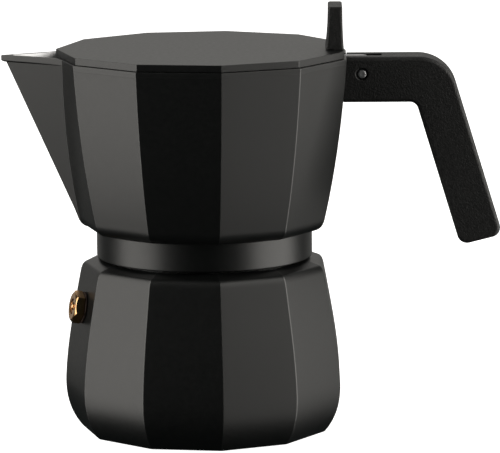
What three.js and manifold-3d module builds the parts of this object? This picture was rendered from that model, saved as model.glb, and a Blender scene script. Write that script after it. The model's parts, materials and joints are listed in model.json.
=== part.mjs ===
// A stovetop moka pot: an eleven-sided boiler, a screwed-on upper chamber with a V spout, and a hinged lid.
// Millimetres. +Z is up and the origin is the middle of the base.
// The spout points along -X and the handle along +X.
import * as THREE from "three";
import { mergeVertices } from "three/addons/utils/BufferGeometryUtils.js";
import Module from "manifold-3d";

const wasm = await Module();
wasm.setup();

// ---- Driving dimensions ----
const SIDES = 11; // facets of the body: one edge points at the spout, the opposite facet holds the handle
const ROUND = 32; // steps round a large turned shape
const FINE = 16; // steps round a small one
const FACE = Math.cos(Math.PI / SIDES); // distance to a facet over distance to an edge

// Heights
const SHOULDER = 61; // top of the boiler's shoulder
const NECK_TOP = 69.6;
const COLLAR_BOTTOM = 61.7;
const CHAMBER_BOTTOM = 71.7;
const CHAMBER_FLOOR = 78.4;
const RIM = 132.4; // top of the upper chamber
const LID_BOTTOM = 132.9;
const LID_TOP = 135.1;
const KNOB_TOP = 150.2;

// Radii, measured to the edges of the eleven-sided shapes
const BOILER_RADIUS = 49.65;
const RIM_RADIUS = 52.4;
const LID_RADIUS = 51.5;
const COLLAR_RADIUS = 38;
const WALL = 2.5;

// The thread between neck and collar
const LEAD = 3;
const THREAD_TURNS = 2.1;
const NECK_RADIUS = 33.2;
const NECK_BORE = 29;
const THREAD_HEIGHT = 1.2;
const COLLAR_BORE = NECK_RADIUS + THREAD_HEIGHT + 0.5;
const THREAD_START = SHOULDER + 1.2; // height of the male thread where it begins, at angle 0
const COLLAR_THREAD_ANGLE = 240; // degrees, where the female thread begins

// The stack that seals the neck
const FLANGE_TOP = NECK_TOP + 0.8;
const GASKET_TOP = FLANGE_TOP + 3.2;
const SEAT = GASKET_TOP + 0.8; // underside of the upper chamber, above the filter plate

// The spout: two flat walls that meet in a sloping keel
const KEEL_RUN = 0.444; // outward travel of the keel for each millimetre up
const KEEL_FOOT = new THREE.Vector2(-44.2, 74.8); // X and Z where the keel leaves the body
const SPOUT_SPREAD = 0.6; // half-width of the walls for each millimetre from the keel
const LIP_TIP = -70.8;
const LIP_SPREAD = 0.56;
const LIP_HEIGHT = 2;
const LIP_RISE = 0.4; // height of the lip over the rim, beyond the lid
const SPOUT_WALL = 3.2; // from outer keel to inner keel, along X

// The hinge and the handle
const PIN_X = 55.7;
const PIN_Z = 126.4;
const PIN_RADIUS = 1.5;
const KNUCKLE = 5.8;
const HANDLE_WIDTH = 16;
const HANDLE_EDGE = 1.5; // rounding of the handle's long edges
const HANDLE_TOP = RIM;
const BAR_HEIGHT = 16;
const ARM_LEAN = 0.3045; // outward travel of the arm for each millimetre down
const ARM_FOOT = 66;
const BOSS_X = 68; // where the handle screw stands

// The knob and its screws
const KNOB_REAR = 49.4;
const KNOB_LENGTH = 19;
const KNOB_SCREW_X = 45.5;
const KNOB_SCREW_Y = 5.5;

// The safety valve, in the facet to the right of the spout edge as seen from the front
const VALVE_Z = 45;
// Edge radius and height where the straight part of the boiler's wall begins
const FLANK = new THREE.Vector2(46.3, 43.8);
const TAPER = 0.19; // loss of edge radius for each millimetre up from there
const VALVE_FLATS = 10;

// ---- Materials ----
const blackCoat = new THREE.MeshStandardMaterial({ color: 0x2b2a2a, roughness: 0.45, metalness: 0.3 });
const blackPlastic = new THREE.MeshStandardMaterial({ color: 0x171717, roughness: 0.6, metalness: 0 });
const aluminium = new THREE.MeshStandardMaterial({ color: 0xc4c5c6, roughness: 0.4, metalness: 1 });
const steel = new THREE.MeshStandardMaterial({ color: 0xb2b4b6, roughness: 0.3, metalness: 1 });
const darkSteel = new THREE.MeshStandardMaterial({ color: 0x4c4c4e, roughness: 0.35, metalness: 1 });
const brass = new THREE.MeshStandardMaterial({ color: 0xb58d45, roughness: 0.25, metalness: 1 });
const rubber = new THREE.MeshStandardMaterial({ color: 0xd9d4c8, roughness: 0.8, metalness: 0 });
const fibre = new THREE.MeshStandardMaterial({ color: 0x3a2a22, roughness: 0.8, metalness: 0 });

// ---- Solids ----
// A closed geometry as a manifold-3d solid.
function solid(geometry) {
  const bare = geometry.clone();
  bare.deleteAttribute("normal");
  bare.deleteAttribute("uv");
  const merged = mergeVertices(bare, 1e-4);
  return new wasm.Manifold(
    new wasm.Mesh({
      numProp: 3,
      vertProperties: merged.attributes.position.array,
      triVerts: new Uint32Array(merged.index.array),
    }),
  );
}

// A manifold-3d solid as a geometry again.
function surface(made) {
  const mesh = made.getMesh();
  const geometry = new THREE.BufferGeometry();
  geometry.setAttribute("position", new THREE.BufferAttribute(mesh.vertProperties, 3));
  geometry.setIndex(new THREE.BufferAttribute(mesh.triVerts, 1));
  return geometry;
}

// The body joined with every geometry of added, less every geometry of cut.
function shaped(body, { added = [], cut = [] }) {
  let made = solid(body);
  for (const piece of added) made = made.add(solid(piece));
  for (const piece of cut) made = made.subtract(solid(piece));
  return surface(made);
}

// A profile of (radius, height) turned about Z; few steps give a faceted body with an edge at the spout.
function turned(profile, steps = ROUND) {
  const drawn = profile instanceof THREE.Path;
  const points = drawn ? profile.getPoints(4) : profile.map(([r, z]) => new THREE.Vector2(r, z));
  return new THREE.LatheGeometry(points, steps, 1.5 * Math.PI).rotateX(Math.PI / 2);
}

function faceted(profile) {
  return turned(profile, SIDES);
}

function rod(radius, low, high, steps = FINE) {
  return turned([[0, low], [radius, low], [radius, high], [0, high]], steps);
}

function ring(inner, outer, low, high, steps = ROUND) {
  return turned([[inner, low], [outer, low], [outer, high], [inner, high], [inner, low]], steps);
}

// A box between two corners.
function block(x0, x1, y0, y1, z0, z1) {
  const box = new THREE.BoxGeometry(x1 - x0, y1 - y0, z1 - z0);
  return box.translate((x0 + x1) / 2, (y0 + y1) / 2, (z0 + z1) / 2);
}

// An outline in the XZ plane, as thick as width, centred on Y = 0.
function slab(outline, width, edge = 0) {
  const geometry = new THREE.ExtrudeGeometry(outline, {
    depth: width - 2 * edge,
    bevelEnabled: edge > 0,
    bevelSize: edge,
    bevelThickness: edge,
    bevelOffset: -edge,
    bevelSegments: 2,
    curveSegments: 4,
  });
  return geometry.translate(0, 0, edge - width / 2).rotateX(Math.PI / 2);
}

// A section of [radius, height] corners, listed counter-clockwise, swept up a right-handed helix about Z.
function helix(section, { start, angle = 0, lead, turns, steps }) {
  const count = Math.round(turns * steps);
  const corners = section.length;
  const positions = [];
  const index = [];
  for (let i = 0; i <= count; i++) {
    const turn = (i / count) * turns;
    const phi = THREE.MathUtils.degToRad(angle) + turn * 2 * Math.PI;
    for (const [r, z] of section) {
      positions.push(r * Math.cos(phi), r * Math.sin(phi), start + z + turn * lead);
    }
  }
  for (let i = 0; i < count; i++) {
    for (let j = 0; j < corners; j++) {
      const a = i * corners + j;
      const b = i * corners + ((j + 1) % corners);
      index.push(a, a + corners, b, b, a + corners, b + corners);
    }
  }
  for (let j = 1; j < corners - 1; j++) {
    const last = count * corners;
    index.push(0, j, j + 1);
    index.push(last, last + j + 1, last + j);
  }
  const geometry = new THREE.BufferGeometry();
  geometry.setAttribute("position", new THREE.Float32BufferAttribute(positions, 3));
  geometry.setIndex(index);
  return geometry;
}

// The corners of a regular polygon in the XY plane.
function polygon(radius, count, x = 0, y = 0) {
  return Array.from({ length: count }, (_, i) => {
    const phi = (i / count) * 2 * Math.PI;
    return new THREE.Vector2(x + radius * Math.cos(phi), y + radius * Math.sin(phi));
  });
}

// A disc with rings of perforations, six more in each ring.
function sieve(radius, low, high, { rings = 3, pitch = 7.2, holeRadius = 0.35 } = {}) {
  const disc = new THREE.Shape(polygon(radius, ROUND));
  for (let k = 0; k <= rings; k++) {
    for (const centre of polygon(k * pitch, Math.max(1, 6 * k))) {
      disc.holes.push(new THREE.Path(polygon(holeRadius, 6, centre.x, centre.y)));
    }
  }
  const settings = { depth: high - low, bevelEnabled: false };
  return new THREE.ExtrudeGeometry(disc, settings).translate(0, 0, low);
}

function mesh(name, geometry, material) {
  const made = new THREE.Mesh(geometry, material);
  made.name = name;
  return made;
}

// ---- Boiler ----
function boilerOutside() {
  const outline = new THREE.Path();
  outline.moveTo(0, 0).lineTo(43.6, 0).lineTo(44.2, 0.6);
  outline.quadraticCurveTo(49.8, 7.2, BOILER_RADIUS, 17.3);
  outline.quadraticCurveTo(49.3, 28, FLANK.x, FLANK.y).lineTo(43.9, 56.4);
  outline.quadraticCurveTo(43.35, 59.15, 41.9, 59.65).lineTo(38.2, SHOULDER).lineTo(0, SHOULDER);
  return faceted(outline);
}

function boilerInside() {
  const outline = new THREE.Path();
  outline.moveTo(0, 3).lineTo(36, 3);
  outline.quadraticCurveTo(43.6, 4.4, 44.5, 17.3);
  outline.quadraticCurveTo(44, 28, 41.4, 43.8).lineTo(39.6, 52);
  outline.quadraticCurveTo(38, 57.8, 33, 57.8).lineTo(NECK_BORE, 57.8);
  outline.lineTo(NECK_BORE, NECK_TOP + 1).lineTo(0, NECK_TOP + 1);
  return turned(outline);
}

function neck() {
  return turned([
    [0, SHOULDER - 1],
    [NECK_RADIUS, SHOULDER - 1],
    [NECK_RADIUS, NECK_TOP - 0.4],
    [NECK_RADIUS - 0.4, NECK_TOP],
    [0, NECK_TOP],
  ]);
}

function neckThread() {
  const section = [
    [NECK_RADIUS - 0.4, -0.75],
    [NECK_RADIUS + THREAD_HEIGHT, -0.35],
    [NECK_RADIUS + THREAD_HEIGHT, 0.35],
    [NECK_RADIUS - 0.4, 0.75],
  ];
  return helix(section, { start: THREAD_START, lead: LEAD, turns: THREAD_TURNS, steps: ROUND });
}

function boiler() {
  const valveHole = rod(4.3, -12, 4).applyMatrix4(valvePlace());
  const geometry = shaped(boilerOutside(), {
    added: [neck(), neckThread()],
    cut: [boilerInside(), valveHole],
  });
  return mesh("boiler", geometry, blackCoat);
}

// ---- Coffee funnel ----
function funnelBasket() {
  const outer = 28.4;
  const inner = outer - 0.8;
  const profile = [
    [4.7, 43],
    [5.6, 43],
    [5.6, 46],
    [26.6, 49],
    [outer, 51],
    [outer, NECK_TOP + 0.05],
    [32.6, NECK_TOP + 0.05],
    [32.6, FLANGE_TOP],
    [inner, FLANGE_TOP],
    [inner, 51.4],
    [26.2, 49.9],
    [5.2, 47],
    [4.7, 47],
    [4.7, 43],
  ];
  return mesh("funnel_basket", turned(profile), aluminium);
}

function funnelTube() {
  return mesh("funnel_tube", ring(3.6, 4.4, 8, 46.6, FINE), aluminium);
}

function funnelPlate() {
  return mesh("funnel_plate", sieve(27, 51.8, 52.6), steel);
}

// ---- Safety valve: local +Z runs out of the boiler, and local 0 is the face of the facet ----
function valvePlace() {
  const azimuth = Math.PI + Math.PI / SIDES;
  const tilt = Math.atan(TAPER * FACE);
  const reach = (FLANK.x - TAPER * (VALVE_Z - FLANK.y)) * FACE;
  const x = reach * Math.cos(azimuth);
  const y = reach * Math.sin(azimuth);
  const place = new THREE.Matrix4().makeTranslation(x, y, VALVE_Z);
  const turn = new THREE.Matrix4().makeRotationZ(azimuth);
  const lean = new THREE.Matrix4().makeRotationY(Math.PI / 2 - tilt);
  return place.multiply(turn).multiply(lean);
}

function valveWasher() {
  return mesh("valve_washer", ring(4.1, 6.1, 0.15, 1.15, FINE), fibre);
}

function valveBody() {
  const front = 4.7;
  const corner = VALVE_FLATS / 2 / Math.cos(Math.PI / 6);
  const hex = turned([[0, 1.3], [corner, 1.3], [corner, front], [0, front]], 6);
  const profile = [[0, -4.6], [3.9, -4.6], [3.9, 1.3], [6.2, 1.3], [6.2, 3.9], [4.9, front], [0, front]];
  const blank = turned(profile, FINE);
  const twist = THREE.MathUtils.degToRad(13);
  const body = solid(hex.rotateZ(twist)).add(solid(rod(3.9, -4.6, 2))).intersect(solid(blank));
  const inlet = 0.35;
  const bored = body.subtract(solid(rod(2.7, -3.2, front + 1))).subtract(solid(rod(inlet, -5, -3)));
  return mesh("valve_body", surface(bored), brass);
}

function valveRetainer() {
  return mesh("valve_retainer", ring(1.35, 2.5, 3.5, 4.3, FINE), brass);
}

function valvePlunger() {
  const head = [[0, -3.1], [1.3, -3.1], [2.3, -2.2], [2.3, -1.2]];
  const stem = [[1.1, -1.2], [1.1, 4.5], [0.7, 5], [0, 5.1]];
  return mesh("valve_plunger", turned([...head, ...stem], FINE), brass);
}

function valveSpring() {
  const wire = 0.25;
  const coil = 1.75;
  const section = [];
  for (let i = 0; i < 6; i++) {
    const a = (i / 6) * 2 * Math.PI;
    section.push([coil + wire * Math.cos(a), wire * Math.sin(a)]);
  }
  return mesh("valve_spring", helix(section, { start: -0.85, lead: 0.8, turns: 5, steps: 12 }), steel);
}

// ---- Seal ----
function gasket() {
  const [inner, outer] = [26.5, 32.6];
  const [low, high] = [FLANGE_TOP + 0.1, GASKET_TOP];
  const outside = [[outer, low], [outer, high - 0.5], [outer - 0.5, high]];
  const profile = [[inner, low], ...outside, [inner, high], [inner, low]];
  return mesh("gasket", turned(profile), rubber);
}

function filterPlate() {
  return mesh("filter_plate", sieve(28.5, GASKET_TOP + 0.1, SEAT - 0.1), steel);
}

// ---- Upper chamber ----
function chamberOutside() {
  const outline = new THREE.Path();
  outline.moveTo(0, CHAMBER_BOTTOM).lineTo(40, CHAMBER_BOTTOM);
  outline.quadraticCurveTo(43.6, 72.2, 44.35, 76.5);
  outline.quadraticCurveTo(50.25, 101.7, RIM_RADIUS, RIM).lineTo(0, RIM);
  return faceted(outline);
}

function chamberInside() {
  const mouth = RIM_RADIUS - WALL;
  const step = 1.6; // depth of the rebate inside the rim
  const outline = new THREE.Path();
  outline.moveTo(0, CHAMBER_FLOOR).lineTo(36, CHAMBER_FLOOR);
  outline.quadraticCurveTo(41.2, 78.9, 41.8, 82.5);
  outline.quadraticCurveTo(47.2, 103, mouth, RIM - step);
  outline.lineTo(mouth + 1, RIM - step).lineTo(mouth + 1, RIM + 1).lineTo(0, RIM + 1);
  return faceted(outline);
}

function collar() {
  return turned([
    [0, COLLAR_BOTTOM],
    [COLLAR_RADIUS - 0.6, COLLAR_BOTTOM],
    [COLLAR_RADIUS, COLLAR_BOTTOM + 0.6],
    [COLLAR_RADIUS, CHAMBER_BOTTOM + 1],
    [0, CHAMBER_BOTTOM + 1],
  ]);
}

function collarBore() {
  const recess = 33.1;
  return turned([
    [0, COLLAR_BOTTOM - 1],
    [COLLAR_BORE, COLLAR_BOTTOM - 1],
    [COLLAR_BORE, FLANGE_TOP - 0.2],
    [recess, FLANGE_TOP - 0.2],
    [recess, SEAT],
    [25, SEAT],
    [4.8, SEAT + 1.8],
    [4.8, CHAMBER_FLOOR + 1],
    [0, CHAMBER_FLOOR + 1],
  ]);
}

function collarThread() {
  const crest = COLLAR_BORE - THREAD_HEIGHT;
  const section = [
    [COLLAR_BORE + 0.4, 0.75],
    [crest, 0.35],
    [crest, -0.35],
    [COLLAR_BORE + 0.4, -0.75],
  ];
  const start = THREAD_START - LEAD / 2 + (LEAD * COLLAR_THREAD_ANGLE) / 360;
  return helix(section, { start, angle: COLLAR_THREAD_ANGLE, lead: LEAD, turns: THREAD_TURNS, steps: ROUND });
}

function keelX(z) {
  return KEEL_FOOT.x - KEEL_RUN * (z - KEEL_FOOT.y);
}

// A solid between two triangles, each with its tip on the spout side and its base at X = back.
function wedge(low, high) {
  const corners = [];
  for (const { z, tip, back, spread } of [low, high]) {
    const half = spread * (back - tip);
    corners.push([tip, 0, z], [back, -half, z], [back, half, z]);
  }
  const faces = [0, 2, 1, 3, 4, 5, 0, 1, 4, 0, 4, 3, 1, 2, 5, 1, 5, 4, 2, 0, 3, 2, 3, 5];
  const geometry = new THREE.BufferGeometry();
  geometry.setAttribute("position", new THREE.Float32BufferAttribute(corners.flat(), 3));
  geometry.setIndex(faces);
  return geometry;
}

function spoutWalls() {
  const top = RIM - LIP_HEIGHT;
  return wedge(
    { z: KEEL_FOOT.y, tip: KEEL_FOOT.x, back: -40, spread: SPOUT_SPREAD },
    { z: top, tip: keelX(top), back: -47, spread: SPOUT_SPREAD },
  );
}

function spoutLip() {
  const edge = { tip: LIP_TIP, back: -47, spread: LIP_SPREAD };
  return wedge({ ...edge, z: RIM - LIP_HEIGHT, tip: LIP_TIP + 0.4 }, { ...edge, z: RIM + LIP_RISE });
}

// Clears the lip away from under the lid and from just beside it.
function lidRoom() {
  const radius = LID_RADIUS + 0.6;
  return faceted([[0, RIM], [radius, RIM], [radius, RIM + 1], [0, RIM + 1]]);
}

function spoutChannel() {
  const inner = (z) => keelX(z) + SPOUT_WALL;
  return wedge(
    { z: 84, tip: inner(84), back: -36, spread: SPOUT_SPREAD },
    { z: RIM + 1, tip: inner(RIM + 1) - 0.6, back: -44, spread: SPOUT_SPREAD },
  );
}

// The lug that carries the handle: an arm under the hinge and a tapped boss beyond it.
function lug() {
  const arm = block(47.8, BOSS_X + 4, -4, 4, 119.9, 122.9);
  return surface(solid(arm).add(solid(block(BOSS_X - 4, BOSS_X + 4, -4, 4, 119.9, 129))));
}

function upperChamber() {
  const hingeNotch = block(45, 52, -2.8, 2.8, 130.4, RIM + 1);
  const bracketRelief = block(44, 48.8, -9.4, 9.4, 130.2, RIM + 1);
  const tappedHole = rod(2.3, 118, 127.8).translate(BOSS_X, 0, 0);
  const shell = shaped(chamberOutside(), {
    added: [collar(), spoutWalls(), spoutLip()],
    cut: [chamberInside(), collarBore(), spoutChannel(), lidRoom(), hingeNotch, bracketRelief],
  });
  const geometry = shaped(shell, { added: [collarThread(), lug()], cut: [tappedHole] });
  return mesh("upper_chamber", geometry, blackCoat);
}

function coffeeColumn() {
  const outline = new THREE.Path();
  outline.moveTo(3, 75.4).lineTo(4.5, 75.4).lineTo(4.5, CHAMBER_FLOOR + 0.2);
  outline.lineTo(7.5, CHAMBER_FLOOR + 0.2).lineTo(7.5, CHAMBER_FLOOR + 1.2);
  outline.quadraticCurveTo(5.8, 81, 5.6, 86).lineTo(4.9, 115);
  outline.quadraticCurveTo(4.7, 118, 0, 118.4).lineTo(0, 116.4).lineTo(3, 114).lineTo(3, 75.4);
  const outlets = block(-9, 9, -1.9, 1.9, 107, 112.5);
  return mesh("coffee_column", shaped(turned(outline, FINE), { cut: [outlets] }), aluminium);
}

// ---- Handle ----
// X of the arm's inner and outer lines at a height.
function armInner(z) {
  return 75.43 + ARM_LEAN * (113.55 - z);
}

function armOuter(z) {
  return 103.36 + ARM_LEAN * (73.54 - z);
}

// Rounds the corner of an outline on the way to next.
function corner(outline, from, at, next, radius) {
  const back = from.clone().sub(at).normalize();
  const ahead = next.clone().sub(at).normalize();
  const half = Math.acos(back.dot(ahead)) / 2;
  const reach = radius / Math.tan(half);
  const [start, end] = [back, ahead].map((way) => way.clone().multiplyScalar(reach).add(at));
  outline.lineTo(start.x, start.y).quadraticCurveTo(at.x, at.y, end.x, end.y);
}

function handleOutline() {
  const at = (x, z) => new THREE.Vector2(x, z);
  const under = HANDLE_TOP - BAR_HEIGHT;
  const rearGap = 0.3;
  const topLeft = at(RIM_RADIUS * FACE + rearGap, HANDLE_TOP);
  const lowLeft = at(51.05 * FACE + rearGap, under);
  const inner = at(armInner(under), under);
  const footInner = at(armInner(ARM_FOOT - 0.4), ARM_FOOT - 0.4);
  const footOuter = at(armOuter(ARM_FOOT + 3.3), ARM_FOOT + 3.3);
  const outer = at(armOuter(HANDLE_TOP), HANDLE_TOP);
  const outline = new THREE.Shape();
  outline.moveTo(topLeft.x, topLeft.y).lineTo(lowLeft.x, lowLeft.y);
  corner(outline, lowLeft, inner, footInner, 3);
  corner(outline, inner, footInner, footOuter, 3.5);
  corner(outline, footInner, footOuter, outer, 3.5);
  corner(outline, footOuter, outer, topLeft, 12);
  outline.closePath();
  return outline;
}

function acrossPin(radius, from, to) {
  return rod(radius, from, to).rotateX(Math.PI / 2).translate(PIN_X, 0, PIN_Z);
}

// A countersunk screw standing along +Z, with its flat head down.
function countersunk(head, headHeight, shank, low, high) {
  return turned([[0, low], [head, low], [shank, low + headHeight], [shank, high], [0, high]], FINE);
}

function handle() {
  const side = HANDLE_WIDTH / 2;
  const under = HANDLE_TOP - BAR_HEIGHT;
  const geometry = shaped(slab(handleOutline(), HANDLE_WIDTH, HANDLE_EDGE), {
    cut: [
      block(46, BOSS_X + 4.4, -4.3, 4.3, 119.6, 129.4),
      block(46, 62.7, -2.6, 2.6, 129, HANDLE_TOP + 1),
      acrossPin(PIN_RADIUS + 0.15, -side - 1, side + 1),
      acrossPin(2.3, side - 0.6, side + 1),
      acrossPin(2.3, -side - 1, 0.6 - side),
      countersunk(4.1, 1.8, 2.3, under - 0.01, 121).translate(BOSS_X, 0, 0),
    ],
  });
  return mesh("handle", geometry, blackPlastic);
}

function handleScrew() {
  const under = HANDLE_TOP - BAR_HEIGHT;
  const geometry = countersunk(3.7, 1.7, 2, under + 0.2, 127.2).translate(BOSS_X, 0, 0);
  return mesh("handle_screw", geometry, steel);
}

function hingePin() {
  const half = HANDLE_WIDTH / 2 - 0.5;
  return mesh("hinge_pin", acrossPin(PIN_RADIUS, -half, half), darkSteel);
}

// ---- Lid ----
function lid() {
  const chamfer = 0.25;
  const plate = faceted([
    [0, LID_BOTTOM],
    [LID_RADIUS, LID_BOTTOM],
    [LID_RADIUS, LID_TOP - chamfer],
    [LID_RADIUS - chamfer, LID_TOP],
    [0, LID_TOP],
  ]);
  const holes = [-KNOB_SCREW_Y, KNOB_SCREW_Y].map((y) =>
    rod(1.4, LID_BOTTOM - 1, LID_TOP + 1).translate(KNOB_SCREW_X, y, 0),
  );
  const stiffener = surface(
    solid(ring(42, 43.5, LID_BOTTOM - 1.6, LID_BOTTOM + 1)).subtract(
      solid(block(36, 50, -9.2, 9.2, LID_BOTTOM - 2, LID_BOTTOM)),
    ),
  );
  return mesh("lid", shaped(plate, { added: [stiffener], cut: holes }), blackCoat);
}

function lidBracket() {
  const top = PIN_Z + KNUCKLE;
  const [footLow, footHigh] = [LID_BOTTOM - 1.3, LID_BOTTOM - 0.1];
  const boss = 3; // radius of the knuckle below the pin, small enough to clear the lug when the lid is open
  const heel = Math.PI / 3; // where the tongue's rounded top ends
  const outline = new THREE.Shape();
  outline.moveTo(44, top).lineTo(44, footLow - 0.6).lineTo(50.6, footLow - 0.6);
  outline.lineTo(50.6, 129.5).lineTo(PIN_X - boss, PIN_Z);
  outline.absarc(PIN_X, PIN_Z, boss, Math.PI, 2 * Math.PI, false);
  outline.lineTo(PIN_X + KNUCKLE * Math.cos(heel), PIN_Z + KNUCKLE * Math.sin(heel));
  outline.absarc(PIN_X, PIN_Z, KNUCKLE, heel, Math.PI / 2, false);
  outline.closePath();
  const screwHoles = [-KNOB_SCREW_Y, KNOB_SCREW_Y].map((y) =>
    countersunk(2.1, 0.75, 1.4, footLow - 0.01, LID_TOP).translate(KNOB_SCREW_X, y, 0),
  );
  const geometry = shaped(slab(outline, 4.6), {
    added: [block(38.5, 47.9, -8.5, 8.5, footLow, footHigh)],
    cut: [acrossPin(PIN_RADIUS + 0.15, -4, 4), ...screwHoles],
  });
  return mesh("lid_bracket", geometry, aluminium);
}

function knob() {
  const low = LID_TOP + 0.1;
  const edge = 0.7;
  const outline = new THREE.Shape();
  outline.moveTo(43, low).lineTo(KNOB_REAR, low);
  outline.quadraticCurveTo(48.9, low + 5, 48.9, KNOB_TOP - edge).lineTo(48.9 - edge, KNOB_TOP);
  outline.lineTo(43.9 + edge, KNOB_TOP).lineTo(43.9, KNOB_TOP - edge);
  outline.quadraticCurveTo(43.9, low + 6, 43, low);
  const sides = [-KNOB_SCREW_Y, KNOB_SCREW_Y];
  const holes = sides.map((y) => rod(1.4, low - 1, 142).translate(KNOB_SCREW_X, y, 0));
  return mesh("knob", shaped(slab(outline, KNOB_LENGTH, edge), { cut: holes }), blackPlastic);
}

function knobScrew(name, y) {
  const geometry = countersunk(1.8, 0.6, 1.15, LID_BOTTOM - 1.3, 141.4).translate(KNOB_SCREW_X, y, 0);
  return mesh(name, geometry, steel);
}

// ---- The pot ----
function safetyValve() {
  const valve = new THREE.Group();
  valve.applyMatrix4(valvePlace());
  valve.add(valveWasher(), valveBody(), valveRetainer(), valvePlunger(), valveSpring());
  return valve;
}

const pot = new THREE.Group();
pot.add(boiler(), safetyValve());
pot.add(funnelBasket(), funnelTube(), funnelPlate());
pot.add(gasket(), filterPlate());
pot.add(upperChamber(), coffeeColumn(), handle(), handleScrew(), hingePin());
pot.add(lid(), lidBracket(), knob());
pot.add(knobScrew("knob_screw_left", -KNOB_SCREW_Y), knobScrew("knob_screw_right", KNOB_SCREW_Y));

export default pot;
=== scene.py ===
import json
import math

import bmesh
import bpy
from mathutils import Matrix, Vector

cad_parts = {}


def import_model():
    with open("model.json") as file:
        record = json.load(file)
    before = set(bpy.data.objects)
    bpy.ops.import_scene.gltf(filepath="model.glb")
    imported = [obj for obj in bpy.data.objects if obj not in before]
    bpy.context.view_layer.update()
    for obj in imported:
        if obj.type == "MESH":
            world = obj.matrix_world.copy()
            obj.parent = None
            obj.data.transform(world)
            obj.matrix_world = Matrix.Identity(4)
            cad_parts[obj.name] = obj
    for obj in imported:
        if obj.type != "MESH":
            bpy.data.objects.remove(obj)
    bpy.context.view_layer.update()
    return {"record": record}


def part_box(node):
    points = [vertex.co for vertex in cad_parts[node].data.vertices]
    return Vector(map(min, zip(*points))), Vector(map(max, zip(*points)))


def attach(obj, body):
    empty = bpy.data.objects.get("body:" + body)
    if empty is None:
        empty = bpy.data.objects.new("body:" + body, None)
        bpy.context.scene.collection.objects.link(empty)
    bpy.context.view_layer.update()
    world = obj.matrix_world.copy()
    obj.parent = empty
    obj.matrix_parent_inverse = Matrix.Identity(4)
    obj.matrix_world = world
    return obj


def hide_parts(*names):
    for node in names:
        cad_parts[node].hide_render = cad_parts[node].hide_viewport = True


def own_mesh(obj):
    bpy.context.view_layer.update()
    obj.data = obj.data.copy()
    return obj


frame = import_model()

MM = 0.001

# ---- Driving dimensions (mm) ----
SIDES = 11  # facets of the body, with one edge at the spout
HALF_FACET = math.pi / SIDES
FACE = math.cos(HALF_FACET)  # distance of a facet for a corner at distance 1
EDGE = 0.9  # rounding of the boiler's facet edges
CHAMBER_EDGE = 0.75  # and of the upper chamber's
ARC_STEPS = 3  # segments in a rounded corner of an outline
BETWEEN = 6  # points along each straight side of an outline

# Heights
BASE_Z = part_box("boiler")[0].z / MM
SHOULDER = 61.0
NECK_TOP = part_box("boiler")[1].z / MM
COLLAR_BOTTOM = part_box("upper_chamber")[0].z / MM
FLANGE_TOP = 70.4  # of the coffee funnel
CHAMBER_BOTTOM = 71.7
SEAT = 74.4  # of the seal, inside the collar
CHAMBER_FLOOR = 78.4
RIM = 132.55
LID_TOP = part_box("lid")[1].z / MM
LID_THICKNESS = 2.45
LID_BOTTOM = LID_TOP - LID_THICKNESS
KNOB_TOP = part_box("knob")[1].z / MM

# Radii; on the faceted parts they are those of the corners
FLANK_RADIUS = 46.3  # where the boiler's straight flank starts
FLANK_Z = 43.8
FLANK_SLOPE = 0.19  # how much the radius falls per mm of height there
NECK_RADIUS = 33.2
NECK_BORE = 29.0
COLLAR_RADIUS = 38.0
RIM_RADIUS = 52.4
LID_RADIUS = 51.5

# The thread between neck and collar
THREAD_HEIGHT = 1.2
THREAD_LEAD = 3.0
THREAD_TURNS = 2.1
THREAD_START = SHOULDER + 1.2
COLLAR_BORE = NECK_RADIUS + THREAD_HEIGHT + 0.5

# The spout: its keel is a slanted line, and its lip stands out over the keel
KEEL_FOOT_X = 44.2
KEEL_FOOT_Z = 74.8
KEEL_RUN = 0.444  # outwards per mm of height
WALL_SPREAD = 0.6  # sideways per mm towards the body
CHANNEL_FLARE_Z = 127.0  # above it the channel opens out wider
LIP_TIP = 70.8
LIP_HEIGHT = 2.0
LIP_RISE = 0.4  # over the rim, beyond the lid
LIP_ROOT_X = 48.75  # where the lip's walls run out into the body
LIP_ROOT_Y = 12.12

# Hinge, handle and knob
hinge = next(j for j in frame["record"]["behaviour"]["joints"] if j["name"] == "lid_hinge")
PIN_X = hinge["pos_m"][0] / MM
PIN_Z = hinge["pos_m"][2] / MM
PIN_RADIUS = 1.5
PIN_BORE = PIN_RADIUS + 0.15
KNUCKLE = 5.8  # radius of the tongue's rounded upper end
HANDLE_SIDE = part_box("handle")[1].y / MM
HANDLE_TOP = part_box("handle")[1].z / MM
BAR_HEIGHT = 16.0
HANDLE_UNDER = HANDLE_TOP - BAR_HEIGHT
HANDLE_END = RIM_RADIUS * FACE + 0.2
ARM_LEAN = 0.3045  # outwards per mm downwards
ARM_INNER = (75.43, 113.55)  # a point (x, z) of the arm's inner edge
ARM_OUTER = (103.66, 73.54)  # and of its outer edge
ARM_FOOT = 66.0
BOSS_X = 68.0  # where the handle is screwed to the lug
KNOB_SCREW_X = 45.5
KNOB_SCREW_Y = 5.5

# Safety valve, in the middle of the facet beside the spout
VALVE_Z = 45.0
VALVE_AZIMUTH = math.pi + HALF_FACET
VALVE_TILT = math.atan(FLANK_SLOPE * FACE)
VALVE_REACH = (FLANK_RADIUS - FLANK_SLOPE * (VALVE_Z - FLANK_Z)) * FACE

# Numbers of the castings' materials
COATED = 0
UNCOATED = 1
# faces of the rounded facet edges, given the shinier coat as a painted highlight
PAINTED_HIGHLIGHT = 2


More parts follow.
